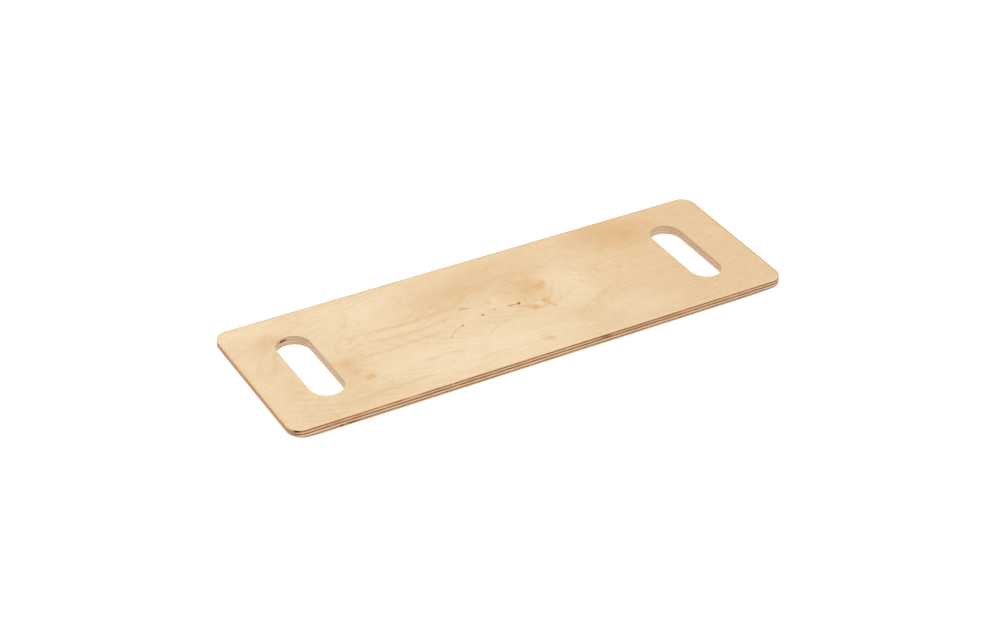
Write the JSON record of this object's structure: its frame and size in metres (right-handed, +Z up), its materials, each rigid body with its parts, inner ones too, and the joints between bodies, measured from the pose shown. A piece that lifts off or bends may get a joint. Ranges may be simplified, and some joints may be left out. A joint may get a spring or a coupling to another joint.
{
  "type": "transfer board",
  "caption": "Flat birch plywood transfer board with rounded corners, a hand hole across each end and ends bevelled underneath, for sliding a seated person between seats.",
  "frame": {"origin": "middle of the underside, at the centre of the board seen from above", "axes": "+X along the board, +Y across it, +Z up out of the top face"},
  "size_m": [0.63, 0.2, 0.012],
  "materials": {
    "birch_face": "rotary-cut birch veneer, sanded, clear satin lacquer",
    "birch_core": "sawn and sanded veneer edge, grain along the board, clear satin lacquer",
    "birch_crossband": "sawn and sanded veneer edge, grain across the board, clear satin lacquer",
    "glue_line": "cured resin adhesive film seen at the sawn edge"
  },
  "bodies": {
    "root": {"top_face_veneer": "birch_face", "glue_line_1": "glue_line", "upper_crossband_left": "birch_crossband", "upper_crossband_right": "birch_crossband", "glue_line_2": "glue_line", "upper_core_veneer": "birch_core", "glue_line_3": "glue_line", "centre_crossband": "birch_crossband", "glue_line_4": "glue_line", "lower_core_veneer": "birch_core", "glue_line_5": "glue_line", "lower_crossband": "birch_crossband", "glue_line_6": "glue_line", "bottom_face_veneer": "birch_face"}
  },
  "joints": []
}
